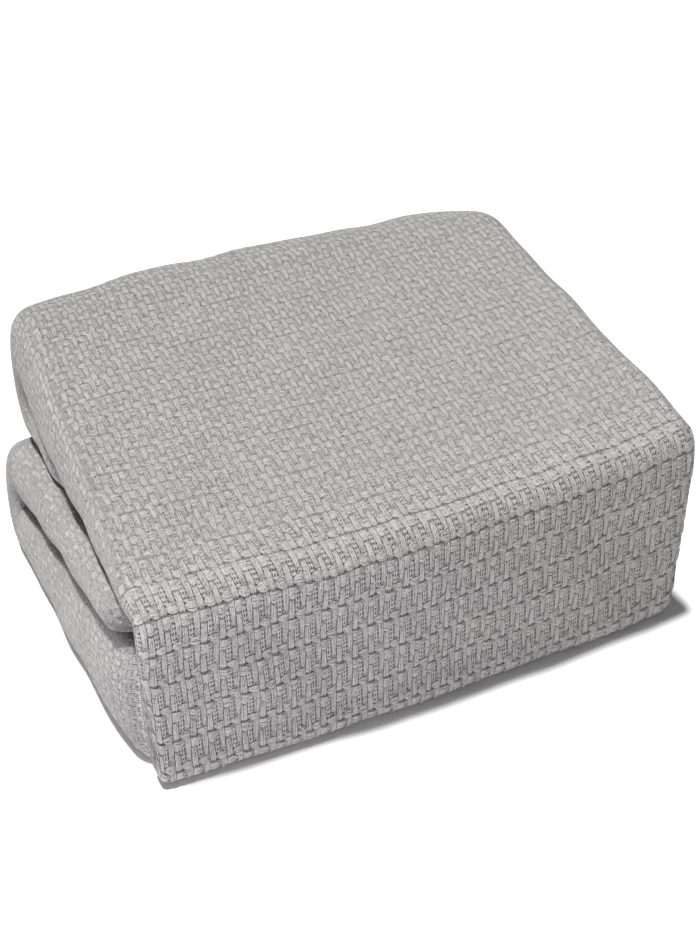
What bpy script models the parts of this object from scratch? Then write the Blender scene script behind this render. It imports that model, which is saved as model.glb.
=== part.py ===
# A folded cotton blanket: one cloth, folded lengthwise into a flat roll of six layers,
# and this strip wound into a package that is low in front and high at the back.
# Metres, +Z up. X runs along the smooth front, Y goes from the front to the back.
# The origin is under the middle of the package, on the floor.
import math

import bpy
import numpy as np

# The cloth
CLOTH = 0.0018
HALF = CLOTH / 2

# The package. Until it is centred, x = 0 is its left edge, y = 0 its front, z = 0 the floor
WIDTH = 0.362
DEPTH = 0.290
TAPER = 0.012             # share by which the back is narrower than the front
FRONT_GAIN = 0.185        # share by which the right end is higher, at the front
BACK_GAIN = 0.070         # and at the back
BOW_RIDGE = 0.009         # how far the front bows out half way along, at the ridge
BOW_FOOT = 0.004          # and at the floor
LEAN = 0.008              # how far the front leans back at the ridge
BACK_CROWN = 0.009        # how far the back stands higher half way along
SIDE_SWELL = 0.003        # how far the right side swells half way up, at the front

# The four turns of the strip, at the package's left end. The under and the upper face of
# each run straight from the turn's front to its back.
# name: front y, back y, under front, under back, upper front, upper back, steps
TURNS = {
    "middle": (0.030, 0.252, 0.0850, 0.0390, 0.1105, 0.0830, 5),
    "lower": (0.040, 0.252, 0.0000, 0.0000, 0.0810, 0.0360, 5),
    "top": (0.030, 0.250, 0.1135, 0.1310, 0.1285, 0.1850, 6),
    "tucked": (0.125, 0.250, 0.1015, 0.0850, 0.1190, 0.1295, 3),
}
# The left edge of each turn: x of its tip in front and at the back, how deep the rounded
# fold is there, and how soon the edge moves from its front place to its back one.
# name: tip front, tip back, depth front, depth back, power
EDGES = {
    "middle": (-0.0080, -0.0150, 0.009, 0.016, 0.8),
    "lower": (-0.0105, -0.0200, 0.014, 0.013, 0.7),
    "top": (-0.0035, -0.0030, 0.006, 0.020, 1.0),
    "tucked": (0.0040, -0.0010, 0.008, 0.022, 1.0),
}

# The front wall, where the strip stands up against the inner turns
WALL = 0.0140             # thickness of the wall
WALL_TOP = 0.1095         # height at which it starts to bend over the ridge
RIDGE_R = 0.0140          # outer radius of the ridge
FOOT_R = 0.0040           # outer radius along the foot of the wall
BEND_R = 0.0025           # radius of the innermost layer in both bends
FOLD_Z = 0.0825           # height of the inner bend between the lower turn and the wall
WALL_EDGE = (-0.0020, 0.006)      # tip and depth of the wall's left fold
FOOT_EDGE = (-0.0020, 0.009)      # and at its foot
# The lower turn draws in to a crease against the wall: y, tip, depth
CREASE = ((0.0260, -0.0063, 0.012), (0.0165, 0.0015, 0.009))
# Places of the outer layer up the wall, above its foot
FOOT_Y = 0.0085
WALL_RISE = (0.026, 0.052, FOLD_Z)
FOOT_TURNS = (15, 75)             # degrees
RIDGE_TURNS = (0, 30, 60, 85)     # degrees

# The back folds
BACK_REACH = 0.036        # how far a back fold stands behind its turns
POCKET = 0.0045           # half height of the pocket inside a back fold
BACK_STEPS = 7

# Layers across the strip: 1 is the inner one, 6 the outer one. The order runs from the
# hem in the middle of the roll to the outer hem, which curls round the right edge.
LAYERS = 6
LAYER_ORDER = (3, 4, 2, 5, 1, 6)
GAPS = LAYERS - 1
CENTRE_LAYER = 3                  # the right folds and the outer hem turn round this one
FOLD_STEPS = {1: 3, 2: 3, 3: 4, 4: 5, 5: 7}   # steps round a fold, by layers spanned
CURL_TURNS = (75, 45, 15)         # degrees round the right edge where the outer hem lies
STRAIGHT = (0.14, 0.50, 0.86)     # shares of a layer's straight run that carry a point
RIGHT_SHARE = 0.8         # depth of the right folds, as a share of the left ones
SQUARENESS = 0.8          # below 1, a rounded fold is squarer than an ellipse
END_UNEVEN = 0.003        # how unevenly the layers end at the strip's two free ends
END_WAVE = 0.55           # radians from one point to the next in that unevenness

FRONT_TOP = WALL_TOP + RIDGE_R
BACK_TOP = TURNS["top"][5]


def mix(a, b, t):
    return a + (b - a) * t


def squared(value):
    """A sine or cosine, swelled towards the corners of its fold."""
    return math.copysign(abs(value) ** SQUARENESS, value)


def turn_rows(name, backwards):
    """Rows (outer y, outer z, inner y, inner z, tip, depth) along one turn of the strip.

    A turn that runs backwards has its outer face up, and one that runs forwards has it
    down. The rows follow the way the strip runs.
    """
    y0, y1, under0, under1, upper0, upper1, steps = TURNS[name]
    tip0, tip1, depth0, depth1, power = EDGES[name]
    rows = []
    for k in range(steps + 1):
        t = k / steps
        y = mix(y0, y1, t)
        under = mix(under0, under1, t) + HALF
        upper = mix(upper0, upper1, t) - HALF
        outer, inner = (upper, under) if backwards else (under, upper)
        moved = t ** power
        rows.append((y, outer, y, inner, mix(tip0, tip1, moved), mix(depth0, depth1, moved)))
    return rows if backwards else rows[::-1]


def back_fold(above, below):
    """Rows round the back, from one turn down to the next, with a pocket inside."""
    upper = turn_rows(above, True)[-1]
    lower = turn_rows(below, False)[0]
    middle = (upper[3] + lower[3]) / 2
    pocket = POCKET + HALF
    rows = []
    for k in range(1, BACK_STEPS):
        t = k / BACK_STEPS
        angle = math.pi * (0.5 - t)
        reach = squared(math.cos(angle))
        rise = squared(math.sin(angle))
        outer_z = upper[1] if rise > 0 else lower[1]
        y = mix(upper[0], lower[0], t)
        rows.append((y + (BACK_REACH - HALF) * reach, middle + abs(rise) * (outer_z - middle),
                     y + pocket * reach, middle + pocket * math.sin(angle),
                     mix(upper[4], lower[4], t), mix(upper[5], lower[5], t)))
    return rows


def wall_rows():
    """Rows from the lower turn's front, round the foot, up the wall and over the ridge."""
    inner_y = WALL - HALF
    inner_z = FOLD_Z - HALF
    rows = [(y, HALF, max(y, inner_y + BEND_R), inner_z, tip, depth) for y, tip, depth in CREASE]
    foot = FOOT_R - HALF
    outer = [(FOOT_Y, HALF)]
    outer += [(FOOT_R - foot * math.sin(a), FOOT_R - foot * math.cos(a))
              for a in map(math.radians, FOOT_TURNS)]
    outer += [(HALF, z) for z in WALL_RISE]
    for k, (y, z) in enumerate(outer):
        a = math.pi / 2 * (k + 0.5) / len(outer)
        t = k / (len(outer) - 1)
        rows.append((y, z, inner_y + BEND_R * (1 - math.sin(a)), inner_z + BEND_R * (1 - math.cos(a)),
                     mix(FOOT_EDGE[0], WALL_EDGE[0], t), mix(FOOT_EDGE[1], WALL_EDGE[1], t)))
    ridge = RIDGE_R - HALF
    bend_z = WALL_TOP - BEND_R
    for a in map(math.radians, RIDGE_TURNS):
        rows.append((RIDGE_R - ridge * math.cos(a), WALL_TOP + ridge * math.sin(a),
                     inner_y + BEND_R * (1 - math.cos(a)), bend_z + BEND_R * math.sin(a),
                     *WALL_EDGE))
    return rows


def strip_rows():
    """Every row of the strip, from its free end in front to the one tucked under the top."""
    return (turn_rows("middle", True) + back_fold("middle", "lower") + turn_rows("lower", False)
            + wall_rows() + turn_rows("top", True) + back_fold("top", "tucked")
            + turn_rows("tucked", False))


def section():
    """Points across the strip as (share, side, reach).

    share goes from 0 at the inner layer to 1 at the outer one. side is -1 in a left fold,
    1 in a right fold and 0 on a straight run, and reach is the share of the fold's depth,
    or of the straight run from left to right.
    """
    points = []
    side = -1
    for layer, after in zip(LAYER_ORDER, LAYER_ORDER[1:] + (None,)):
        share = (layer - 1) / GAPS
        run = (0.0, *STRAIGHT, 1.0)
        points += [(share, 0, s) for s in (run if side > 0 else run[::-1])]
        if after is None:
            break
        span = abs(after - layer)
        for m in range(1, FOLD_STEPS[span]):
            angle = math.pi * (m / FOLD_STEPS[span] - 0.5)
            rise = (squared(math.sin(angle)) + 1) / 2
            points.append((mix(share, (after - 1) / GAPS, rise), side,
                           squared(math.cos(angle)) * span / GAPS))
        side = -side
    centre = (CENTRE_LAYER - 1) / GAPS
    for angle in map(math.radians, CURL_TURNS):
        points.append((mix(centre, 1, squared(math.sin(angle))), 1,
                       squared(math.cos(angle)) * LAYERS / GAPS))
    return points


def place(x, y, z):
    """Moves a point of the plain wound strip to its place in the uneven package."""
    u = min(max(x / WIDTH, 0), 1)
    v = min(max(y / DEPTH, 0), 1)
    hump = 4 * u * (1 - u)
    height = z / mix(FRONT_TOP, BACK_TOP, v)
    low = min(height, 1)
    forward = (mix(BOW_FOOT, BOW_RIDGE, low) * hump - LEAN * low) * (1 - v) ** 3
    swell = SIDE_SWELL * u ** 6 * 4 * low * (1 - low) * (1 - v)
    gain = mix(FRONT_GAIN, BACK_GAIN, v)
    crown = BACK_CROWN * hump * v * v * height
    return x * (1 - TAPER * v) + swell, y - forward, z * (1 + x / WIDTH * gain) + crown


def middle_surface():
    """The cloth's middle surface, as a grid of points: across the strip, then along it."""
    rows = strip_rows()
    across = section()
    grid = np.zeros((len(across), len(rows), 3))
    for j, (outer_y, outer_z, inner_y, inner_z, tip, depth) in enumerate(rows):
        left = tip + depth
        right = WIDTH - depth * RIGHT_SHARE
        free_end = j in (0, len(rows) - 1)
        for i, (share, side, reach) in enumerate(across):
            if side < 0:
                x = left - depth * reach
            elif side > 0:
                x = right + depth * RIGHT_SHARE * reach
            else:
                x = mix(left, right, reach)
            y = mix(inner_y, outer_y, share)
            if free_end:
                y -= END_UNEVEN * math.sin(i * END_WAVE)
            grid[i, j] = place(x, y, mix(inner_z, outer_z, share))
    return grid


def cloth_mesh():
    """Closed mesh of the cloth: both faces, the two hems and the two free ends."""
    grid = middle_surface()
    normal = np.cross(np.gradient(grid, axis=0), np.gradient(grid, axis=1))
    normal /= np.linalg.norm(normal, axis=2)[:, :, None]
    points = np.concatenate([(grid + side * HALF * normal).reshape(-1, 3) for side in (1, -1)])
    points[:, 2] = np.where(points[:, 2] < HALF / 2, 0, points[:, 2])
    low, high = points.min(axis=0), points.max(axis=0)
    points -= [(low[0] + high[0]) / 2, (low[1] + high[1]) / 2, 0]
    n, m = grid.shape[:2]

    def at(face, i, j):
        return face * n * m + i * m + j

    faces = []
    for i in range(n - 1):
        for j in range(m - 1):
            quad = (i, j), (i + 1, j), (i + 1, j + 1), (i, j + 1)
            faces.append([at(0, *corner) for corner in quad])
            faces.append([at(1, *corner) for corner in quad[::-1]])
    for j in range(m - 1):
        faces.append([at(0, 0, j), at(0, 0, j + 1), at(1, 0, j + 1), at(1, 0, j)])
        faces.append([at(0, n - 1, j + 1), at(0, n - 1, j), at(1, n - 1, j), at(1, n - 1, j + 1)])
    for i in range(n - 1):
        faces.append([at(0, i + 1, 0), at(0, i, 0), at(1, i, 0), at(1, i + 1, 0)])
        faces.append([at(0, i, m - 1), at(0, i + 1, m - 1), at(1, i + 1, m - 1), at(1, i, m - 1)])
    mesh = bpy.data.meshes.new("blanket")
    mesh.from_pydata(points.tolist(), [], faces)
    mesh.shade_smooth()
    mesh.set_sharp_from_angle(angle=math.radians(50))
    return mesh


def cotton():
    """Soft grey woven cotton."""
    material = bpy.data.materials.new("grey_cotton")
    material.use_nodes = True
    shader = material.node_tree.nodes["Principled BSDF"]
    shader.inputs["Base Color"].default_value = (0.42, 0.41, 0.40, 1)
    shader.inputs["Roughness"].default_value = 0.9
    shader.inputs["Metallic"].default_value = 0.0
    return material


def main():
    for old in list(bpy.data.objects):
        bpy.data.objects.remove(old, do_unlink=True)
    collection = bpy.data.collections.new("folded_blanket")
    bpy.context.scene.collection.children.link(collection)
    blanket = bpy.data.objects.new("blanket", cloth_mesh())
    blanket.data.materials.append(cotton())
    collection.objects.link(blanket)


main()
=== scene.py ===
# A cotton blanket in a thick grey basket weave, folded into a package: one cloth, with the
# floats of its weave laid over it as yarns. Metres, +Z up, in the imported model's frame.
# X runs along the smooth front, Y goes from the front to the back.
import math

import bpy
import numpy as np
from mathutils import Matrix

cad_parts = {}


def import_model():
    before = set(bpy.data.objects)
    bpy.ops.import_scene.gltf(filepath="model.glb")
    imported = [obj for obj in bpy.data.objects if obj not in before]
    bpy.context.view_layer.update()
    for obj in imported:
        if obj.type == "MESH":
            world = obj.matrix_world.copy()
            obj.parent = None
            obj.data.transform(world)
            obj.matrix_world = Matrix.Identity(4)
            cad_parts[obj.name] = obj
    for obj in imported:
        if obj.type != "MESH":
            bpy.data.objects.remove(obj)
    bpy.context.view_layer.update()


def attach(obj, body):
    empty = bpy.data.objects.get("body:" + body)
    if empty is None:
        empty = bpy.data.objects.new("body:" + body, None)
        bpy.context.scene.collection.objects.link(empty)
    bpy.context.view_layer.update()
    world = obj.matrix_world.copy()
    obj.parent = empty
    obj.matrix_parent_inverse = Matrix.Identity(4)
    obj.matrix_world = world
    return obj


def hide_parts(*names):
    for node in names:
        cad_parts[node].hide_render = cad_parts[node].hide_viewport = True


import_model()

# The cloth and the package, as in the part. Until it is centred, x = 0 is the package's
# left edge, y = 0 its front and z = 0 the floor.
CLOTH = 0.0018
HALF = CLOTH / 2
WIDTH = 0.362
DEPTH = 0.290
TAPER = 0.012                     # share by which the back is narrower than the front
FRONT_GAIN = 0.185                # share by which the right end is higher, at the front
BACK_GAIN = 0.070                 # and at the back
BOW_RIDGE = 0.009                 # how far the front bows out half way along, at the ridge
BOW_FOOT = 0.004                  # and at the floor
LEAN = 0.008                      # how far the front leans back at the ridge
BACK_CROWN = 0.009                # how far the back stands higher half way along
SIDE_SWELL = 0.003                # how far the right side swells half way up, at the front

# The four turns of the strip, at the package's left end
# name: front y, back y, under front, under back, upper front, upper back, steps
TURNS = {
    "middle": (0.030, 0.252, 0.0850, 0.0390, 0.1105, 0.0830, 5),
    "lower": (0.040, 0.252, 0.0000, 0.0000, 0.0810, 0.0360, 5),
    "top": (0.030, 0.250, 0.1135, 0.1310, 0.1285, 0.1850, 6),
    "tucked": (0.125, 0.250, 0.1015, 0.0850, 0.1190, 0.1295, 3),
}
# Their left edges: x of the tip, depth of the rounded fold, and how soon these change
# name: tip front, tip back, depth front, depth back, power
EDGES = {
    "middle": (-0.0080, -0.0150, 0.009, 0.016, 0.8),
    "lower": (-0.0105, -0.0200, 0.014, 0.013, 0.7),
    "top": (-0.0035, -0.0030, 0.006, 0.020, 1.0),
    "tucked": (0.0040, -0.0010, 0.008, 0.022, 1.0),
}

# The front wall, where the strip stands up against the inner turns
WALL = 0.0140                     # thickness of the wall
WALL_TOP = 0.1095                 # height at which it starts to bend over the ridge
RIDGE_R = 0.0140                  # outer radius of the ridge
FOOT_R = 0.0040                   # outer radius along the foot of the wall
BEND_R = 0.0025                   # radius of the innermost layer in both bends
FOLD_Z = 0.0825                   # height of the inner bend between the lower turn and the wall
WALL_EDGE = (-0.0020, 0.006)      # tip and depth of the wall's left fold
FOOT_EDGE = (-0.0020, 0.009)      # and at its foot
# The lower turn draws in to a crease against the wall: y, tip, depth
CREASE = ((0.0260, -0.0063, 0.012), (0.0165, 0.0015, 0.009))
# Places of the outer layer up the wall, above its foot
FOOT_Y = 0.0085
WALL_RISE = (0.026, 0.052, FOLD_Z)
FOOT_TURNS = (15, 75)             # degrees
RIDGE_TURNS = (0, 30, 60, 85)     # degrees

# The back folds
BACK_REACH = 0.036                # how far a back fold stands behind its turns
POCKET = 0.0045                   # half height of the pocket inside a back fold
BACK_STEPS = 7

# Layers across the strip: 1 is the inner one, 6 the outer one. The order runs from the
# hem in the middle of the roll to the outer hem, which curls round the right edge.
LAYERS = 6
LAYER_ORDER = (3, 4, 2, 5, 1, 6)
GAPS = LAYERS - 1
CENTRE_LAYER = 3                  # the right folds and the outer hem turn round this one
CURL_START = 90                   # degrees from which the outer hem curls
CURL_TURN = 75                    # and degrees that it turns
RIGHT_SHARE = 0.8                 # depth of the right folds, as a share of the left ones
SQUARENESS = 0.8                  # below 1, a rounded fold is squarer than an ellipse
FRONT_TOP = WALL_TOP + RIDGE_R
BACK_TOP = TURNS["top"][5]

# The strip's free end in front is gathered to a round nose
NOSE_LENGTH = 0.022
NOSE_CLOSED = 0.80                # how far its layers come together
NOSE_SHARE = 0.30                 # and where, as a share of the strip's thickness
NOSE_TURN = 0.020                 # how far its left edge turns in
GATHERS = 3.0                     # soft creases in it
GATHER_DEPTH = 0.0048
GATHER_PHASE = 1.0                # radians

# How finely the cloth is drawn
ROW_STEP = 0.0050                 # along the strip
BEND_EXTRA = 1.6                  # how many more rows a sharp bend gets, as a share
BEND_SHARP = 0.020                # radius below which a bend is sharp
NOSE_ROWS = 8                     # rows that round the nose
RUN_STEPS = {1: 16, 2: 6, 3: 6, 4: 6, 5: 6, 6: 66}       # across each layer
FOLD_STEPS = {1: 4, 2: 5, 3: 6, 4: 10, 5: 16}            # round a fold, by layers spanned
CURL_STEPS = 6
GROUND_SINK = 0.0005              # the ground of the weave lies this far under the floats' level

# The weave's repeat
COLUMN = (0.00994, 0.00260)       # width of a column at the left, and how much wider it gets
WIDENING = (0.42, 1.05)           # where along the package it does
FIRST_COLUMN = 0.22               # the column number of the left edge
FRONT_ROW = (0.0216, 0.0232)      # height of a row on the front, pulled straight, left and right
TOP_ROW = ((0.0168, 0.0122), (0.0182, 0.0132))   # on the top: from ridge to back, left and right
HIDDEN_ROW = 0.0180               # and elsewhere
FOOT_PHASE = (0.50, 0.65)         # how far the foot lies under a groove, left and right
COUNTED = (-0.45, 0.90, 0.002)    # places at which columns are counted: from, to, step
BLEND_ROWS = 9                    # rows of points over which the wall's weave becomes the top's
# Unevenness of the weave: wave length in columns, in rows, amount in columns, in rows, phase
DRIFTS = ((9.0, 13.0, 0.06, 0.020, 0.4), (-5.3, 7.0, 0.04, 0.018, 1.9), (3.7, -4.1, 0.03, 0.015, 3.3))

TOP_OPEN = 0.30                   # how far the mesh of the weave opens where it isn't pulled, which scales the painted shade there
LOOSE_PUFF = 0.28                 # how high the floats rise there
LOOSE_SHIFT = 0.05                # how unevenly they lie there, in rows
LOOSE_ASIDE = 0.4                 # and in columns, as a share of that
LOOSE_OVERLAP = 0.07              # how far they reach past the rows' grooves there
SIDE_PUFF = 0.16                  # how high the floats rise round the folds at the sides

SEED = 11
TINY = 1e-12                      # keeps a length from being zero
rng = np.random.default_rng(SEED)


def mix(a, b, t):
    """From a at t = 0 to b at t = 1."""
    return a + (b - a) * t


def smoothstep(a, b, value):
    """0 below a and 1 above b, with a soft change."""
    t = np.clip((value - a) / (b - a), 0, 1)
    return t * t * (3 - 2 * t)


def squared(value):
    """A sine or cosine, swelled towards the corners of its fold."""
    return math.copysign(abs(value) ** SQUARENESS, value)


def turn_rows(name, backwards):
    """Rows (outer y, outer z, inner y, inner z, tip, depth) along one turn of the strip."""
    y0, y1, under0, under1, upper0, upper1, steps = TURNS[name]
    tip0, tip1, depth0, depth1, power = EDGES[name]
    rows = []
    for k in range(steps + 1):
        t = k / steps
        y = mix(y0, y1, t)
        under = mix(under0, under1, t) + HALF
        upper = mix(upper0, upper1, t) - HALF
        outer, inner = (upper, under) if backwards else (under, upper)
        moved = t ** power
        rows.append((y, outer, y, inner, mix(tip0, tip1, moved), mix(depth0, depth1, moved)))
    return rows if backwards else rows[::-1]


def back_fold(above, below):
    """Rows round the back, from one turn down to the next, with a pocket inside."""
    upper = turn_rows(above, True)[-1]
    lower = turn_rows(below, False)[0]
    middle = (upper[3] + lower[3]) / 2
    pocket = POCKET + HALF
    rows = []
    for k in range(1, BACK_STEPS):
        t = k / BACK_STEPS
        angle = math.pi * (0.5 - t)
        reach = squared(math.cos(angle))
        rise = squared(math.sin(angle))
        outer_z = upper[1] if rise > 0 else lower[1]
        y = mix(upper[0], lower[0], t)
        rows.append((y + (BACK_REACH - HALF) * reach, middle + abs(rise) * (outer_z - middle),
                     y + pocket * reach, middle + pocket * math.sin(angle),
                     mix(upper[4], lower[4], t), mix(upper[5], lower[5], t)))
    return rows


def wall_rows():
    """Rows from the lower turn's front, round the foot, up the wall and over the ridge."""
    inner_y = WALL - HALF
    inner_z = FOLD_Z - HALF
    rows = [(y, HALF, max(y, inner_y + BEND_R), inner_z, tip, depth) for y, tip, depth in CREASE]
    foot = FOOT_R - HALF
    outer = [(FOOT_Y, HALF)]
    outer += [(FOOT_R - foot * math.sin(a), FOOT_R - foot * math.cos(a))
              for a in map(math.radians, FOOT_TURNS)]
    outer += [(HALF, z) for z in WALL_RISE]
    for k, (y, z) in enumerate(outer):
        a = math.pi / 2 * (k + 0.5) / len(outer)
        t = k / (len(outer) - 1)
        rows.append((y, z, inner_y + BEND_R * (1 - math.sin(a)), inner_z + BEND_R * (1 - math.cos(a)),
                     mix(FOOT_EDGE[0], WALL_EDGE[0], t), mix(FOOT_EDGE[1], WALL_EDGE[1], t)))
    ridge = RIDGE_R - HALF
    bend_z = WALL_TOP - BEND_R
    for a in map(math.radians, RIDGE_TURNS):
        rows.append((RIDGE_R - ridge * math.cos(a), WALL_TOP + ridge * math.sin(a),
                     inner_y + BEND_R * (1 - math.cos(a)), bend_z + BEND_R * math.sin(a),
                     *WALL_EDGE))
    return rows


STRETCHES = ("middle", "low_back", "lower", "wall", "top", "high_back", "tucked")


def strip_rows():
    """The rows of each stretch of the strip, from its free end in front to the tucked one."""
    return {"middle": turn_rows("middle", True), "low_back": back_fold("middle", "lower"),
            "lower": turn_rows("lower", False), "wall": wall_rows(),
            "top": turn_rows("top", True), "high_back": back_fold("top", "tucked"),
            "tucked": turn_rows("tucked", False)}


def smooth_rows(step):
    """Rows a step apart on a smooth curve through the strip's rows, and each row's stretch."""
    by_stretch = strip_rows()
    rows = np.array([row for name in STRETCHES for row in by_stretch[name]])
    stretch = np.array([k for k, name in enumerate(STRETCHES) for _ in by_stretch[name]])
    gap = np.linalg.norm(np.diff(rows[:, :2], axis=0), axis=1)
    at = np.concatenate([[0], np.cumsum(gap)])
    slope = np.diff(rows, axis=0) / gap[:, None]
    tangent = np.concatenate([slope[:1], (slope[:-1] * gap[1:, None] + slope[1:] * gap[:-1, None])
                              / (gap[:-1] + gap[1:])[:, None], slope[-1:]])
    # Bends get more rows than straight stretches, and the nose those that round it
    bend = np.concatenate([[0], np.linalg.norm(np.diff(slope[:, :2], axis=0), axis=1), [0]])
    sharpness = np.maximum(bend[:-1], bend[1:]) / gap * BEND_SHARP
    pace = np.concatenate([[0], np.cumsum(gap * (1 + BEND_EXTRA * np.minimum(sharpness, 1)))])
    count = int(round(pace[-1] / step))
    new = np.interp(np.linspace(0, pace[-1], count + 1), pace, at)
    new = np.union1d(new, NOSE_LENGTH * (1 - np.sqrt(np.linspace(0, 1, NOSE_ROWS))))
    k = np.clip(np.searchsorted(at, new, side="right") - 1, 0, len(gap) - 1)
    t = ((new - at[k]) / gap[k])[:, None]
    h = gap[k][:, None]
    curve = ((2 * t ** 3 - 3 * t ** 2 + 1) * rows[k] + (t ** 3 - 2 * t ** 2 + t) * h * tangent[k]
             + (3 * t ** 2 - 2 * t ** 3) * rows[k + 1] + (t ** 3 - t ** 2) * h * tangent[k + 1])
    curve[:, [1, 3]] = np.maximum(curve[:, [1, 3]], HALF)
    return curve, stretch[np.where(t[:, 0] > 0.5, k + 1, k)]


def section():
    """Points across the strip as (share, side, reach, layer), as in the part but finer."""
    points = []
    side = -1
    for layer, after in zip(LAYER_ORDER, LAYER_ORDER[1:] + (None,)):
        share = (layer - 1) / GAPS
        run = np.linspace(0, 1, RUN_STEPS[layer] + 1)
        points += [(share, 0, s, layer) for s in (run if side > 0 else run[::-1])]
        if after is None:
            break
        span = abs(after - layer)
        steps = FOLD_STEPS[span]
        for m in range(1, steps):
            angle = math.pi * (m / steps - 0.5)
            rise = (squared(math.sin(angle)) + 1) / 2
            points.append((mix(share, (after - 1) / GAPS, rise), side,
                           squared(math.cos(angle)) * span / GAPS, 0))
        side = -side
    centre = (CENTRE_LAYER - 1) / GAPS
    for k in range(1, CURL_STEPS + 1):
        angle = math.radians(CURL_START - CURL_TURN * k / CURL_STEPS)
        points.append((mix(centre, 1, squared(math.sin(angle))), 1,
                       squared(math.cos(angle)) * LAYERS / GAPS, 0))
    return np.array(points)


def place(x, y, z):
    """Moves points of the plain wound strip to their place in the uneven package."""
    u = np.clip(x / WIDTH, 0, 1)
    v = np.clip(y / DEPTH, 0, 1)
    hump = 4 * u * (1 - u)
    height = z / mix(FRONT_TOP, BACK_TOP, v)
    low = np.minimum(height, 1)
    forward = (mix(BOW_FOOT, BOW_RIDGE, low) * hump - LEAN * low) * (1 - v) ** 3
    swell = SIDE_SWELL * u ** 6 * 4 * low * (1 - low) * (1 - v)
    gain = mix(FRONT_GAIN, BACK_GAIN, v)
    crown = BACK_CROWN * hump * v * v * height
    return np.stack([x * (1 - TAPER * v) + swell, y - forward,
                     z * (1 + x / WIDTH * gain) + crown], axis=-1)


# The left edge of the top turn rests on the turn under it. Shares of the gap between them
# that are closed: in front, at the edge further back, and behind the edge
CLOSED_FRONT = 0.80
CLOSED_EDGE = 0.72
CLOSED_BEHIND = 0.28
CLOSED_ALONG = (0.070, 0.130)     # y over which the front's share becomes the edge's
CLOSED_LIP = (-0.002, 0.014)      # x over which the edge's share becomes the one behind it
CLOSED_BACK = (0.185, 0.235)      # and y over which it does, to leave room for the tucked turn
CLOSED_IN = 0.060                 # x at which nothing is closed any more


def settled(x, y, z):
    """Heights with the left edge of the top turn resting on the turn under it."""
    front, back = TURNS["top"][:2]
    along = np.clip((y - front) / (back - front), 0, 1)
    bed = mix(TURNS["middle"][4], TURNS["middle"][5], along)
    under = mix(TURNS["top"][2], TURNS["top"][3], along)
    upper = mix(TURNS["top"][4], TURNS["top"][5], along)
    behind = np.maximum(smoothstep(*CLOSED_LIP, x), smoothstep(*CLOSED_BACK, y))
    lip = mix(CLOSED_EDGE, CLOSED_BEHIND, behind)
    closed = mix(CLOSED_FRONT, lip, smoothstep(*CLOSED_ALONG, y)) * smoothstep(WALL, front, y)
    closed = closed * (1 - smoothstep(0, CLOSED_IN, x))
    above = (under - bed) * (upper - z) / (upper - under)
    return z - closed * np.clip(np.minimum(z - bed, above), 0, None)


# Soft unevenness of the whole package: wave length along x, y, z, amount, phase
RIPPLES = ((0.110, 0.160, 0.240, 0.0006, 0.3), (0.071, -0.093, 0.130, 0.0004, 2.1),
           (-0.190, 0.064, -0.100, 0.0005, 4.0), (0.043, 0.051, 0.060, 0.0002, 1.2))
RIPPLE_SHARES = (0.6, 0.8)        # how much of it moves points along x and along y
RIPPLE_START = (0.002, 0.030)     # heights over which it starts to move them up and down


def rippled(points):
    """Points moved a little, as folded cloth is never quite even. The floor stays flat."""
    x, y, z = np.moveaxis(points, -1, 0)
    wave = sum(amount * np.sin(2 * math.pi * (x / a + y / b + z / c) + phase)
               for a, b, c, amount, phase in RIPPLES)
    up = smoothstep(*RIPPLE_START, z)
    return points + np.stack([RIPPLE_SHARES[0] * wave, RIPPLE_SHARES[1] * wave, wave * up], axis=-1)


def wind(across, rows):
    """The cloth's middle surface: a grid of points across the strip, then along it."""
    share, side, reach = across.T[:3, :, None]
    outer_y, outer_z, inner_y, inner_z, tip, depth = rows.T[:, None, :]
    # The free end in front is gathered to a round nose
    length = np.concatenate([[0], np.cumsum(np.linalg.norm(np.diff(rows[:, :2], axis=0), axis=1))])
    near = np.clip(1 - length / NOSE_LENGTH, 0, 1)
    rounding = 1 - np.sqrt(1 - near ** 2)
    crease = GATHER_DEPTH * near * np.sin(2 * math.pi * GATHERS * share + GATHER_PHASE)
    share = mix(share, NOSE_SHARE, NOSE_CLOSED * rounding)
    left = tip + depth + crease + NOSE_TURN * rounding
    right = WIDTH - depth * RIGHT_SHARE
    x = np.where(side < 0, left - depth * reach,
                 np.where(side > 0, right + depth * RIGHT_SHARE * reach, mix(left, right, reach)))
    y = mix(inner_y, outer_y, share)
    return rippled(place(x, y, settled(x, y, mix(inner_z, outer_z, share))))


def arc(points, axis):
    """Length along a grid's lines, from their first point."""
    step = np.linalg.norm(np.diff(points, axis=axis), axis=-1)
    shape = list(step.shape)
    shape[axis] = 1
    return np.concatenate([np.zeros(shape), np.cumsum(step, axis=axis)], axis=axis)


def unit(vectors):
    """The same directions, one metre long."""
    return vectors / np.maximum(np.linalg.norm(vectors, axis=-1, keepdims=True), TINY)


rows, stretch = smooth_rows(ROW_STEP)
across = section()
grid = wind(across, rows)
low, high = grid.reshape(-1, 3).min(axis=0), grid.reshape(-1, 3).max(axis=0)
SHIFT = np.array([(low[0] + high[0]) / 2, (low[1] + high[1]) / 2, 0])
grid = grid - SHIFT
normal = unit(np.cross(np.gradient(grid, axis=0), np.gradient(grid, axis=1)))
outer_face = grid + (HALF - GROUND_SINK) * normal
inner_face = grid - HALF * normal
for face in (outer_face, inner_face):
    face[..., 2] = np.where(face[..., 2] < HALF, 0, face[..., 2])

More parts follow.
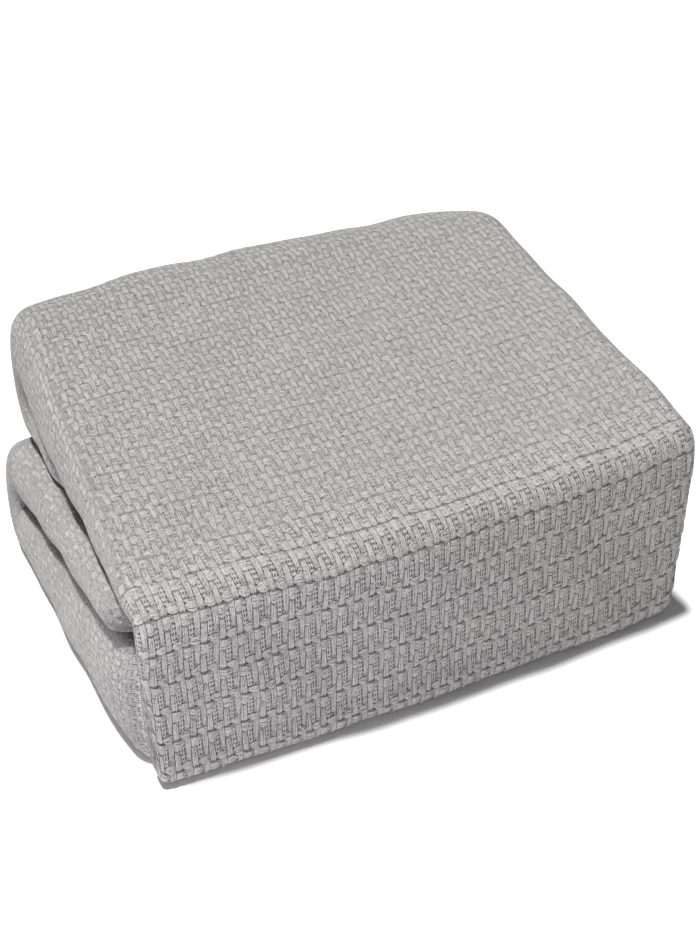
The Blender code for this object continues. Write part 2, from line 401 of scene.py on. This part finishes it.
# The weave's own coordinates. Columns are counted across the cloth and rows down the front
# and forwards over the top. Round a fold a row keeps the number that it has at the edge.
last_layer = np.flatnonzero(across[:, 3] == LAYERS)
first_layer = np.flatnonzero(across[:, 3] == 1)
centre = last_layer[len(last_layer) // 2]
is_wall = stretch == STRETCHES.index("wall")
foot_row = int(np.argmin(np.abs(rows[:, 0] - FOOT_R) + ~is_wall + rows[:, 1]))
column_places = np.arange(*COUNTED)
column_widths = COLUMN[0] + COLUMN[1] * smoothstep(*WIDENING, column_places / WIDTH)
column_numbers = np.cumsum(COUNTED[2] / column_widths)
column_numbers += FIRST_COLUMN - np.interp(0, column_places, column_numbers)


def column_at(x):
    """Column number at a place along the package's width."""
    return np.interp(x, column_places, column_numbers)


def weave_rows():
    """Row number at each point of the outer layer, counted from the foot of the wall."""
    length = np.diff(arc(grid[last_layer], 1), axis=1)
    u = across[last_layer, 2][:, None]
    kind = np.array(STRETCHES)[stretch][:-1]
    on_top = kind == "top"
    v = np.cumsum(on_top) / on_top.sum()
    top = mix(mix(*TOP_ROW[0], v), mix(*TOP_ROW[1], v), u)
    height = np.where(kind == "wall", mix(*FRONT_ROW, u ** 2), np.where(on_top, top, HIDDEN_ROW))
    number = np.concatenate([np.zeros_like(u), np.cumsum(length / height, axis=1)], axis=1)
    return mix(*FOOT_PHASE, u) - (number - number[:, foot_row][:, None])


across_way = arc(grid, 0)
columns = column_at(across_way - across_way[centre] + WIDTH / 2)
outer_rows = weave_rows()
share_across = np.where(across[:, 1] < 0, 0, np.where(across[:, 1] > 0, 1, across[:, 2]))
row_numbers = np.stack([np.interp(share_across, across[last_layer, 2], outer_rows[:, j])
                        for j in range(len(rows))], axis=1)
waves = [(a, b, np.sin(2 * math.pi * (columns / p + row_numbers / q) + phase))
         for p, q, a, b, phase in DRIFTS]
columns = columns + sum(a * wave for a, _, wave in waves)
row_numbers = row_numbers + sum(b * wave for _, b, wave in waves)
# The weave is pulled straight and open on the wall, and looser past both of its ends
wall_share = np.convolve(np.pad(is_wall.astype(float), BLEND_ROWS // 2, mode="edge"),
                         np.full(BLEND_ROWS, 1 / BLEND_ROWS), mode="valid")
# Openness only sets how strong the painted shade of the ground, its holes and its grooves is
openness = mix(TOP_OPEN, 1, wall_share)[None, :] * np.ones_like(columns)


def new_object(name, vertices, faces, material, attributes=()):
    """A smooth mesh object with point attributes, given as (name, vectors)."""
    mesh = bpy.data.meshes.new(name)
    mesh.vertices.add(len(vertices))
    mesh.vertices.foreach_set("co", np.ascontiguousarray(vertices, np.float32).ravel())
    mesh.loops.add(faces.size)
    mesh.loops.foreach_set("vertex_index", np.ascontiguousarray(faces, np.int32).ravel())
    mesh.polygons.add(len(faces))
    mesh.polygons.foreach_set("loop_start", np.arange(0, faces.size, 4, dtype=np.int32))
    mesh.polygons.foreach_set("loop_total", np.full(len(faces), 4, np.int32))
    mesh.update(calc_edges=True)
    mesh.validate()
    mesh.shade_smooth()
    for label, values in attributes:
        layer = mesh.attributes.new(label, "FLOAT_VECTOR", "POINT")
        layer.data.foreach_set("vector", np.ascontiguousarray(values, np.float32).ravel())
    mesh.materials.append(material)
    made = bpy.data.objects.new(name, mesh)
    bpy.context.scene.collection.objects.link(made)
    return made


class Flow:
    """A number on its way through a material's nodes, so that formulas can be written plainly."""

    def __init__(self, tree, socket):
        self.tree = tree
        self.socket = socket

    def through(self, operation, *others):
        node = self.tree.nodes.new("ShaderNodeMath")
        node.operation = operation
        for slot, value in enumerate((self, *others)):
            if isinstance(value, Flow):
                self.tree.links.new(value.socket, node.inputs[slot])
            else:
                node.inputs[slot].default_value = value
        return Flow(self.tree, node.outputs[0])

    def __add__(self, other):
        return self.through("ADD", other)

    def __sub__(self, other):
        return self.through("SUBTRACT", other)

    def __mul__(self, other):
        return self.through("MULTIPLY", other)

    def wave(self, count):
        """0 in the grooves and 1 on the crests of that many threads."""
        return (self * (math.pi * count)).through("SINE").through("ABSOLUTE")

    def ramp(self, start, end):
        """0 before start and 1 past end, with a soft change."""
        node = self.tree.nodes.new("ShaderNodeMapRange")
        node.interpolation_type = "SMOOTHSTEP"
        self.tree.links.new(self.socket, node.inputs["Value"])
        node.inputs["From Min"].default_value = start
        node.inputs["From Max"].default_value = end
        return Flow(self.tree, node.outputs["Result"])

    def band(self, start, end, soft):
        """1 between start and end."""
        return self.ramp(start - soft, start + soft) * (self.ramp(end - soft, end + soft) * -1 + 1)


def attribute(tree, name):
    """The three numbers of a point attribute."""
    node = tree.nodes.new("ShaderNodeAttribute")
    node.attribute_name = name
    parts = tree.nodes.new("ShaderNodeSeparateXYZ")
    tree.links.new(node.outputs["Vector"], parts.inputs[0])
    return [Flow(tree, out) for out in parts.outputs]


def noise(tree, scale, detail):
    """Noise in the object's own coordinates, about 0.5 on average."""
    here = tree.nodes.new("ShaderNodeTexCoord")
    node = tree.nodes.new("ShaderNodeTexNoise")
    node.inputs["Scale"].default_value = scale
    node.inputs["Detail"].default_value = detail
    tree.links.new(here.outputs["Object"], node.inputs["Vector"])
    return Flow(tree, node.outputs["Fac"])


GREY = (0.400, 0.394, 0.389)      # the cotton's colour
FLECK = (0.450, 0.443, 0.438)     # and where the yarn is lighter
# How soft cotton takes the light
COTTON = {"Roughness": 0.92, "Specular IOR Level": 0.25, "Sheen Weight": 0.12, "Sheen Roughness": 0.6}
# The noise of its fibres, tufts, dark specks and light flecks: scale and detail
GROUND_NOISE = {"fibre": (2600, 3), "tuft": (750, 2), "speck": (640, 1), "fleck": (260, 2)}
YARN_NOISE = {"fibre": (3200, 3), "tuft": (850, 2), "speck": (620, 1), "fleck": (300, 2)}
SPECK = (0.57, 0.67)              # noise over which a speck gets dark
GROUND_TUFT = (0.30, 0.62)        # and over which a tuft gets light, on the ground
YARN_TUFT = (0.28, 0.60)          # and on the yarn
# What each feature does to the brightness: its amount, and what is there without it. Fibres, tufts, specks,
# flecks and tones are the cotton's own; holes, grooves, thread grooves, twist and the open weave's
# darkening are painted shade
GROUND_SHADES = {"hole": (-0.80, 1), "groove": (-0.40, 1), "plain": (0.16, 0.84), "fibre": (0.16, 0.92),
                 "tuft": (0.30, 0.90), "speck": (-0.46, 1), "opened": (-0.18, 1.09)}
YARN_SHADES = {"tone": (0.07, 0.97), "fibre": (0.14, 0.93), "twist": (0.08, 0.96),
               "tuft": (0.22, 0.85), "speck": (-0.42, 1)}
GROUND_RELIEF = 0.0007            # depth of the bumps on the ground
YARN_RELIEF = 0.00030             # and on the yarn
FIBRE_RELIEF = 0.35               # share of the fibres in the ground's bumps
TWIST_RELIEF = 0.55               # share of the twist in the yarn's bumps, the rest is fibres
TWISTS = 1.0                      # ply crests to a millimetre of yarn; the grooves between them are painted darker, as shade
TWIST_LEAN = 0.22                 # how far they lean, in millimetres
PLAIN = (18, 28)                  # fine threads of the ground to a column and to a row; their grooves are painted darker, as shade
# The mesh's holes and the other gaps between the floats are painted dark: painted shade, where one looks
# into the cloth beneath
HOLE = 0.1475                     # distance between the mesh's holes, in columns and in rows
HOLE_AT = (0.655, 0.3575)         # its first hole
HOLE_ENDS = (0.05, 0.55)          # cosine over which a hole opens, along a row
HOLE_PICKS = (0.0, 0.5)           # and along a column
MESH = (0.61, 1.00, 0.31, 0.70)   # where the mesh lies: columns from, to, rows from, to
MESH_SOFT = 0.01
# Other gaps between the floats, painted dark as shade: column, row, half width, half height
GAPS_AT = ((0.275, 0.50, 0.035, 0.085), (0.285, 0.67, 0.045, 0.035), (0.13, 0.685, 0.03, 0.03),
           (0.90, 0.23, 0.085, 0.030), (0.715, 0.79, 0.045, 0.03), (0.30, 0.985, 0.055, 0.035),
           (0.715, 0.975, 0.070, 0.035), (0.44, 0.385, 0.09, 0.012))
GAP_SOFT = (0.4, 1.5)             # where a gap ends, in squares of its half size
GROOVE = 0.030                    # half height of the groove between rows, painted dark as shade
GROOVE_SOFT = 0.02


def cotton_material(name):
    """A material of soft cotton, with its tree and its shader."""
    material = bpy.data.materials.new(name)
    material.use_nodes = True
    tree = material.node_tree
    shader = tree.nodes["Principled BSDF"]
    for socket, value in COTTON.items():
        shader.inputs[socket].default_value = value
    return material, tree, shader


def shading(amounts, **features):
    """The brightness that several features leave, as a product."""
    shade = None
    for name, feature in features.items():
        amount, rest = amounts[name]
        left = feature * amount + rest
        shade = left if shade is None else shade * left
    return shade


def colour(tree, shader, tint, shade):
    """Sets the base colour: tint goes from the grey to its fleck, and shade darkens it, both the cotton's
    own tones and painted shade.
    """
    blend = tree.nodes.new("ShaderNodeMix")
    blend.data_type = "RGBA"
    blend.inputs["A"].default_value = (*GREY, 1)
    blend.inputs["B"].default_value = (*FLECK, 1)
    tree.links.new(tint.socket, blend.inputs["Factor"])
    darker = tree.nodes.new("ShaderNodeVectorMath")
    darker.operation = "SCALE"
    tree.links.new(blend.outputs["Result"], darker.inputs[0])
    tree.links.new(shade.socket, darker.inputs["Scale"])
    tree.links.new(darker.outputs["Vector"], shader.inputs["Base Color"])


def bump(tree, shader, height, distance):
    """Gives the shader a fine relief."""
    node = tree.nodes.new("ShaderNodeBump")
    node.inputs["Strength"].default_value = 1.0
    node.inputs["Distance"].default_value = distance
    tree.links.new(height.socket, node.inputs["Height"])
    tree.links.new(node.outputs["Normal"], shader.inputs["Normal"])


def gap_at(s, t, column, row, half_width, half_height):
    """1 in a small round gap of the weave and 0 away from it: where the ground is painted dark as shade."""
    x = (s - column) * (1 / half_width)
    y = (t - row) * (1 / half_height)
    return (x * x + y * y).ramp(*GAP_SOFT) * -1 + 1


def ground_material():
    """The cloth under the floats: fine plain threads, with the gaps of the weave. Its gaps, grooves and
    open parts carry painted shade.
    """
    material, tree, shader = cotton_material("cotton_ground")
    column, row, opened = attribute(tree, "weave")
    s = column.through("FRACT")
    t = row.through("FRACT")
    # Holes of the mesh and gaps between the floats, painted dark: painted shade
    ends = ((s - HOLE_AT[0]) * (2 * math.pi / HOLE)).through("COSINE")
    picks = ((t - HOLE_AT[1]) * (2 * math.pi / HOLE)).through("COSINE")
    in_mesh = s.band(*MESH[:2], MESH_SOFT) * t.band(*MESH[2:], MESH_SOFT)
    holes = ends.ramp(*HOLE_ENDS) * picks.ramp(*HOLE_PICKS) * in_mesh
    for gap in GAPS_AT:
        holes = holes.through("MAXIMUM", gap_at(s, t, *gap))
    holes = holes * opened
    # The groove between the rows, painted dark: painted shade
    groove = (t.band(GROOVE, 1 - GROOVE, GROOVE_SOFT) * -1 + 1) * opened
    grain = {kind: noise(tree, *values) for kind, values in GROUND_NOISE.items()}
    # Fine threads of the ground: their own pattern, painted darker in its grooves as shade, and a bump
    plain = column.wave(PLAIN[0]) * 0.5 + row.wave(PLAIN[1]) * 0.5
    # The ground between the floats is painted darker where the weave is pulled open, on the front, and
    # lighter where it is loose: painted shade
    shade = shading(GROUND_SHADES, hole=holes, groove=groove, plain=plain, fibre=grain["fibre"],
                    tuft=grain["tuft"].ramp(*GROUND_TUFT), speck=grain["speck"].ramp(*SPECK), opened=opened)
    colour(tree, shader, grain["fleck"], shade)
    bump(tree, shader, plain + grain["fibre"] * FIBRE_RELIEF + grain["tuft"] - holes, GROUND_RELIEF)
    return material


def yarn_material():
    """The floats' yarn: loose cotton with a twist."""
    material, tree, shader = cotton_material("cotton_yarn")
    length, side, tone = attribute(tree, "yarn")
    # The ply of the yarn: painted darker in its grooves as shade, and a bump
    twist = (length + side * TWIST_LEAN).wave(TWISTS)
    grain = {kind: noise(tree, *values) for kind, values in YARN_NOISE.items()}
    shade = shading(YARN_SHADES, tone=tone, fibre=grain["fibre"], twist=twist,
                    tuft=grain["tuft"].ramp(*YARN_TUFT), speck=grain["speck"].ramp(*SPECK))
    colour(tree, shader, grain["fleck"], shade)
    relief = twist * TWIST_RELIEF + grain["fibre"] * (1 - TWIST_RELIEF) + grain["tuft"]
    bump(tree, shader, relief, YARN_RELIEF)
    return material


def cloth_piece(material):
    """The whole cloth as a closed sheet: both faces, the hems and the free ends."""
    n, m = grid.shape[:2]
    index = np.arange(n * m).reshape(n, m)
    corners = [index[:-1, :-1], index[1:, :-1], index[1:, 1:], index[:-1, 1:]]
    top = np.stack(corners, axis=-1).reshape(-1, 4)
    under = top[:, ::-1] + n * m

    def edge(line):
        return np.stack([line[1:], line[:-1], line[:-1] + n * m, line[1:] + n * m], axis=-1)

    rims = [edge(index[:, 0]), edge(index[-1]), edge(index[::-1, -1]), edge(index[0, ::-1])]
    vertices = np.concatenate([outer_face.reshape(-1, 3), inner_face.reshape(-1, 3)])
    weave = np.stack([columns, row_numbers, openness], axis=-1).reshape(-1, 3)
    return new_object("cloth", vertices, np.concatenate([top, under, *rims]), material,
                      [("weave", np.concatenate([weave, weave]))])


# The outer face as a table over columns and rows, on which the floats are laid
TABLE_STEPS = (4, 8)              # table points to a column and to a row
# What the table holds after each point's three coordinates
NUMBER, VALID, STRETCH, WALLED = 3, 4, 5, 6
HELD = 7
LAST_STEP = 1.001                 # keeps a place inside the table's last step


class OuterFace:
    """Points and normals of the cloth's outer face at any column and row."""

    def __init__(self):
        start = first_layer[len(first_layer) // 2]
        points, cols, nums = outer_face[start:], columns[start:], row_numbers[start:]
        fold = first_layer[-1] - start if across[first_layer[-1], 2] == 0 else first_layer[0] - start
        m = points.shape[1]
        # The first and last column, and the first and last row
        self.c0, self.c1 = math.floor(cols.min()), math.ceil(cols.max())
        self.r0, self.r1 = math.floor(nums.min()), math.ceil(nums.max())
        cs = np.linspace(self.c0, self.c1, (self.c1 - self.c0) * TABLE_STEPS[0] + 1)
        rs = np.linspace(self.r0, self.r1, (self.r1 - self.r0) * TABLE_STEPS[1] + 1)
        lines = np.zeros((m, len(cs), HELD))
        for j in range(m):
            for k in range(3):
                lines[j, :, k] = np.interp(cs, cols[:, j], points[:, j, k])
            lines[j, :, NUMBER] = np.interp(cs, cols[:, j], nums[:, j])
            lines[j, :, VALID] = (cs >= cols[fold, j]) & (cs <= cols[-1, j])
            lines[j, :, STRETCH] = stretch[j]
            lines[j, :, WALLED] = wall_share[j]
        table = np.zeros((len(rs), len(cs), HELD))
        for k in range(len(cs)):
            line = lines[::-1, k]
            for v in range(HELD):
                table[:, k, v] = np.interp(rs, line[:, NUMBER], line[:, v])
            table[:, k, VALID] *= (rs > line[0, NUMBER]) & (rs < line[-1, NUMBER])
        self.points = table[..., :3]
        self.valid = table[..., VALID]
        self.stretch = table[..., STRETCH]
        self.wall = table[..., WALLED]
        self.normals = unit(np.cross(np.gradient(self.points, axis=0), np.gradient(self.points, axis=1)))

    def find(self, values, c, r):
        """Values of one of the tables at columns c and rows r."""
        x = np.clip((c - self.c0) * TABLE_STEPS[0], 0, values.shape[1] - LAST_STEP)
        y = np.clip((r - self.r0) * TABLE_STEPS[1], 0, values.shape[0] - LAST_STEP)
        i, j = x.astype(int), y.astype(int)
        fx, fy = x - i, y - j
        if values.ndim == 3:
            fx, fy = fx[..., None], fy[..., None]
        return ((values[j, i] * (1 - fx) + values[j, i + 1] * fx) * (1 - fy)
                + (values[j + 1, i] * (1 - fx) + values[j + 1, i + 1] * fx) * fy)

    def lift(self, c, r, height):
        """Points at a height over the face."""
        return self.find(self.points, c, r) + unit(self.find(self.normals, c, r)) * height[..., None]


# The threads that show in one repeat. Columns and rows are shares of the repeat. A block's
# threads lie side by side, from one line to another at its start, its middle and its end.
# name: kind, start, end, (from, to) at the start, in the middle, at the end, threads, crown mm
CHART = {
    "tall": ("warp", -0.030, 0.720, (0.01, 0.29), (0.00, 0.30), (0.07, 0.22), 3, 0.62),
    "upper": ("weft", 0.310, 0.830, (0.05, 0.32), (0.030, 0.365), (0.05, 0.29), 4, 0.60),
    "short": ("warp", 0.370, 0.985, (0.36, 0.61), (0.335, 0.64), (0.33, 0.64), 3, 0.60),
    "lower": ("weft", 0.690, 1.320, (0.81, 0.92), (0.740, 1.005), (0.75, 0.99), 4, 0.80),
}
# The fine threads of the open mesh: kind, start, end, lines that they follow, width, crown mm
FINE = (("warp", 0.10, 0.80, (0.725, 0.872), 0.080, 0.35),
        ("weft", 0.62, 1.02, (0.160, 0.295, 0.432, 0.580, 0.718), 0.080, 0.42),
        ("weft", 0.02, 0.34, (0.718,), 0.050, 0.40),
        ("warp", 0.46, 0.74, (0.255,), 0.035, 0.30))
ACROSS = np.array([-1.0, -0.5, 0.5, 1.0])   # a thread's points across
ROUND = np.array([0.0, 0.86, 0.86, 0.0])    # and their height, as a share of its back's
SPINE = 1                                   # the one along which a thread is measured
MM = 0.001
YARN = 0.00022                              # height of one thread's back
DIVE = 0.00022                              # how deep its ends go under the ground
ARCH = 0.38                                 # power of the sine that a thread's rise follows
MIDDLE = 0.45                               # where along a thread its middle line counts
OVERWIDE = 1.06                             # a thread's width, as a share of its room
END_WIDTH = 0.88                            # and at its ends, as a share of that
SLANT = 0.10                                # how far the right half's threads lean, in columns
SLANT_COLUMNS = (8, 26)                     # columns over which the lean sets in
TWIST_START = 3                             # how far a thread's twist may be shifted, in millimetres
# How uneven single threads are
UNEVEN_PLACE = 0.20                         # their place and bow, in half widths
UNEVEN_ENDS = 0.04                          # their ends, in lengths
UNEVEN_WIDTH = 0.08                         # their width
UNEVEN_RISE = 0.15                          # and their height, as shares
NEAR_GROOVE = 0.1                           # this near a groove, a loose float's end reaches past it
WHOLE = 0.98                                # a thread is laid where the cloth under it is this whole
PAST_EDGE = 0.4                             # columns past the package's edge where floats are low
COARSE_THREADS = 3                          # threads to a block, except at the finest level
FLOAT_STEPS = (3, 4, 5)                     # steps along a float, by level of detail
FINE_STEPS = {"warp": 3, "weft": 2}         # and along the mesh's fine threads


def threads_of(level):
    """Threads (kind, start, end, three places, three half widths, crown, steps) of a repeat."""
    found = []
    for kind, start, end, *lines, threads, crown in CHART.values():
        threads = threads if level > 1 else COARSE_THREADS
        for k in range(threads):
            places = [mix(*line, (k + 0.5) / threads) for line in lines]
            halves = [(line[1] - line[0]) / threads / 2 * OVERWIDE for line in lines]
            found.append((kind, start, end, places, halves, crown, FLOAT_STEPS[level]))
    if level > 0:
        for kind, start, end, lines, width, crown in FINE:
            found += [(kind, start, end, [line] * 3, [width / 2] * 3, crown, FINE_STEPS[kind])
                      for line in lines]
    return found


def through_three(values, t):
    """A thread's value along it, from those at its start, its middle and its end."""
    early, late = smoothstep(0, MIDDLE, t), smoothstep(MIDDLE, 1, t)
    return mix(mix(values[0], values[1], early), values[2], late)


def thread_points(face, cells, loose, thread):
    """Columns, rows and heights of one thread's points, at each cell that has cloth under it."""
    kind, start, end, places, halves, crown, steps = thread
    t = 0.5 - 0.5 * np.cos(np.linspace(0, math.pi, steps + 1))
    arch = np.sin(math.pi * t) ** ARCH
    shift, first, last, bow, broad = np.moveaxis(rng.uniform(-1, 1, (len(cells), 5, 1)), 1, 0)
    at = through_three(places, t) + halves[1] * (UNEVEN_PLACE * shift
                                                 + UNEVEN_PLACE * bow * np.sin(math.pi * t))
    width = through_three(halves, t) * mix(END_WIDTH, 1, arch) * (1 + UNEVEN_WIDTH * broad)
    slack = UNEVEN_ENDS * (end - start)
    past = LOOSE_OVERLAP * loose[:, None] * (kind == "warp")
    along = mix(start + slack * first - past * (start < NEAR_GROOVE),
                end + slack * last + past * (end > 1 - NEAR_GROOVE), t)
    side = at[:, :, None] + width[:, :, None] * ACROSS
    along = np.repeat(along[:, :, None], len(ACROSS), axis=2)
    c, r = (side, along) if kind == "warp" else (along, side)
    column, row = cells.T[:, :, None, None]
    c = c + column
    c = c + SLANT * (r - 0.5) * smoothstep(*SLANT_COLUMNS, c) * face.find(face.wall, c, r + row)
    r = r + row
    inside = face.find(face.valid, c[:, :, SPINE], r[:, :, SPINE]).min(axis=1) > WHOLE
    first_c, first_r = c[:, :1, SPINE], r[:, :1, SPINE]
    puff = mix(LOOSE_PUFF, 1, face.find(face.wall, first_c, first_r))
    puff = np.where((first_c < -PAST_EDGE) | (first_c > column_at(WIDTH) + PAST_EDGE), SIDE_PUFF, puff)
    rise = crown * MM * (1 + UNEVEN_RISE * bow) * puff
    height = (rise * arch)[:, :, None] - DIVE * (1 - arch)[:, None] + YARN * (ROUND - 1)
    return c[inside], r[inside], height[inside]


def lay(face, cells, level):
    """Vertices, faces and yarn attributes of the threads at the given cells."""
    vertices, quads, yarns = [], [], []
    total = 0
    loose = 1 - face.find(face.wall, cells[:, 0] + 0.5, cells[:, 1] + 0.5)
    uneven = np.stack([LOOSE_ASIDE * loose, loose], axis=1) * LOOSE_SHIFT
    cells = cells + uneven * rng.uniform(-1, 1, (len(cells), 2))
    for thread in threads_of(level):
        c, r, height = thread_points(face, cells, loose, thread)
        if not len(c):
            continue
        spot = face.lift(c, r, height)
        spot[..., 2] = np.maximum(spot[..., 2], 0)
        vertices.append(spot.reshape(-1, 3))
        # Each thread has a tone, and its twist starts where that says
        along = arc(spot[:, :, SPINE], 1) / MM
        tone = np.repeat(rng.uniform(-1, 1, len(c)), along.shape[1] * len(ACROSS))
        yarns.append(np.stack([np.repeat(along.ravel(), len(ACROSS)) + TWIST_START * tone,
                               np.tile(ACROSS, along.size), tone], axis=-1))
        index = total + np.arange(c.size).reshape(c.shape)
        corners = [index[:, :-1, :-1], index[:, :-1, 1:], index[:, 1:, 1:], index[:, 1:, :-1]]
        quad = np.stack(corners, axis=-1).reshape(-1, 4)
        quads.append(quad if thread[0] == "weft" else quad[:, ::-1])
        total += index.size
    return np.concatenate(vertices), np.concatenate(quads), np.concatenate(yarns)


# The inner turns carry floats only at their edges: columns from the left, columns from the right
EDGE_COLUMNS = (2, 3)
TOP_SPLIT = -14                   # row that parts the near floats of the top from the far ones
UNDERSIDE = 0.0035                # below this height,
FACING_DOWN = -0.6                # and facing down more than this, the cloth carries no floats


def weave_pieces(face, material):
    """The floats on each part of the package, as joined meshes."""
    cells = np.array([(c, r) for r in range(face.r0, face.r1) for c in range(face.c0, face.c1)], float)
    c, r = cells.T
    spot = face.find(face.points, c + 0.5, r + 0.5)
    facing = face.find(face.normals, c + 0.5, r + 0.5)
    number = np.round(face.find(face.stretch, c + 0.5, r + 0.5)).astype(int)
    name = np.array(STRETCHES)[np.clip(number, 0, len(STRETCHES) - 1)]
    right_end = column_at(WIDTH)
    left = c < 0
    right = c >= math.floor(right_end)
    inner = np.isin(name, ("middle", "tucked", "lower"))
    edge = (c < EDGE_COLUMNS[0]) | (c > right_end - EDGE_COLUMNS[1])
    # The underside has none, apart from the row that comes round the foot of the wall
    clear = (spot[:, 2] > UNDERSIDE) | (facing[:, 2] > FACING_DOWN) | (r == 0)
    keep = clear & (~inner | edge)
    between = keep & ~left & ~right
    top = between & (name == "top")
    regions = {
        "weave_front": (between & (name == "wall"), 2),
        "weave_top_near": (top & (r >= TOP_SPLIT), 1),
        "weave_top_far": (top & (r < TOP_SPLIT), 1),
        "weave_back": (between & np.isin(name, ("high_back", "low_back")), 0),
        "weave_left": (keep & ~right & (left | inner), 1),
        "weave_right": (keep & ~left & (right | inner) & (c >= EDGE_COLUMNS[0]), 0),
    }
    made = []
    for label, (chosen, level) in regions.items():
        vertices, quads, yarns = lay(face, cells[chosen], level)
        made.append(new_object(label, vertices, quads, material, [("yarn", yarns)]))
    return made


ground = ground_material()
yarn = yarn_material()
cloth = cloth_piece(ground)
floats = weave_pieces(OuterFace(), yarn)
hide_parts("blanket")
for piece in (cloth, *floats):
    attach(piece, "root")


# The stage
FLOOR_SIZE = 40
FLOOR_GREY = 0.93
FLOOR_ROUGHNESS = 0.85
SKY_STRENGTH = 0.12
# The key light is like a high sun, a little to the left of the package and behind it
KEY_AT = (-0.150, 0.10, 1.10)
KEY_AIM = (0, 0, 0)
KEY_STRENGTH = 4.4
KEY_TINT = (1.0, 0.992, 0.980)
KEY_ANGLE = math.radians(5)
# The fill is a small round light, low in front at the left
FILL_AT = (-0.80, -0.60, 0.12)
FILL_AIM = (0, -0.1, 0.08)
FILL_POWER = 4.0
FILL_TINT = (0.970, 0.945, 1.0)
FILL_SIZE = 0.26
UPRIGHT = 0.99                    # past this share, a direction counts as upright


def stage_floor():
    bpy.ops.mesh.primitive_plane_add(size=FLOOR_SIZE, location=(0, 0, 0))
    floor = bpy.context.object
    floor.name = "floor"
    material = bpy.data.materials.new("pale_floor")
    material.use_nodes = True
    shader = material.node_tree.nodes["Principled BSDF"]
    shader.inputs["Base Color"].default_value = (FLOOR_GREY, FLOOR_GREY, FLOOR_GREY, 1)
    shader.inputs["Roughness"].default_value = FLOOR_ROUGHNESS
    floor.data.materials.append(material)


def look_rows(direction):
    """Rotation rows of an object whose -Z looks along the direction."""
    back = -direction / np.linalg.norm(direction)
    side = np.cross((0, 0, 1), back) if abs(back[2]) < UPRIGHT else np.array((1.0, 0, 0))
    side = side / np.linalg.norm(side)
    return np.stack([side, np.cross(back, side), back], axis=-1).tolist()


def put_light(light, location, target, power, tint):
    """Places a light so that it points at its target."""
    light.energy = power
    light.color = tint
    lamp = bpy.data.objects.new(light.name, light)
    lamp.location = location
    direction = np.array(target) - np.array(location)
    lamp.rotation_euler = Matrix(look_rows(direction)).to_euler()
    bpy.context.scene.collection.objects.link(lamp)


def lights():
    """A sun-like light from above, and a soft low one from the left in front."""
    key = bpy.data.lights.new("key", "SUN")
    key.angle = KEY_ANGLE
    put_light(key, KEY_AT, KEY_AIM, KEY_STRENGTH, KEY_TINT)
    fill = bpy.data.lights.new("fill", "AREA")
    fill.shape = "DISK"
    fill.size = FILL_SIZE
    put_light(fill, FILL_AT, FILL_AIM, FILL_POWER, FILL_TINT)


def world():
    """Even white light from all round."""
    sky = bpy.data.worlds.new("studio")
    bpy.context.scene.world = sky
    sky.use_nodes = True
    node = sky.node_tree.nodes["Background"]
    node.inputs["Color"].default_value = (1.0, 1.0, 1.0, 1)
    node.inputs["Strength"].default_value = SKY_STRENGTH


# The camera, as fitted to the package in the photo: a place over the package's left front
CAMERA_AT = (-0.1209, -0.4569, 0.5353)
PITCH = math.radians(33.88)
YAW = math.radians(-27.29)
ROLL = math.radians(1.77)
SENSOR = 36                       # mm, along the photo's height
PHOTO_HEIGHT = 933                # pixels
FOCAL_PIXELS = 1200
NEAREST = 0.01                    # nothing nearer than this is drawn


def camera():
    """The photo's camera."""
    eye = bpy.data.cameras.new("camera")
    eye.sensor_width = SENSOR
    eye.lens = FOCAL_PIXELS / PHOTO_HEIGHT * SENSOR
    eye.clip_start = NEAREST
    view = bpy.data.objects.new("camera", eye)
    back = np.array([math.sin(YAW) * math.cos(PITCH), -math.cos(YAW) * math.cos(PITCH), math.sin(PITCH)])
    level = np.array([math.cos(YAW), math.sin(YAW), 0])
    upright = np.cross(back, level)
    side = math.cos(ROLL) * level + math.sin(ROLL) * upright
    up = -math.sin(ROLL) * level + math.cos(ROLL) * upright
    turn = Matrix(np.stack([side, up, back], axis=-1).tolist()).to_4x4()
    turn.translation = np.array(CAMERA_AT) - SHIFT
    view.matrix_world = turn
    bpy.context.scene.collection.objects.link(view)
    bpy.context.scene.camera = view


stage_floor()
world()
lights()
camera()
bpy.context.scene.view_settings.view_transform = "Standard"
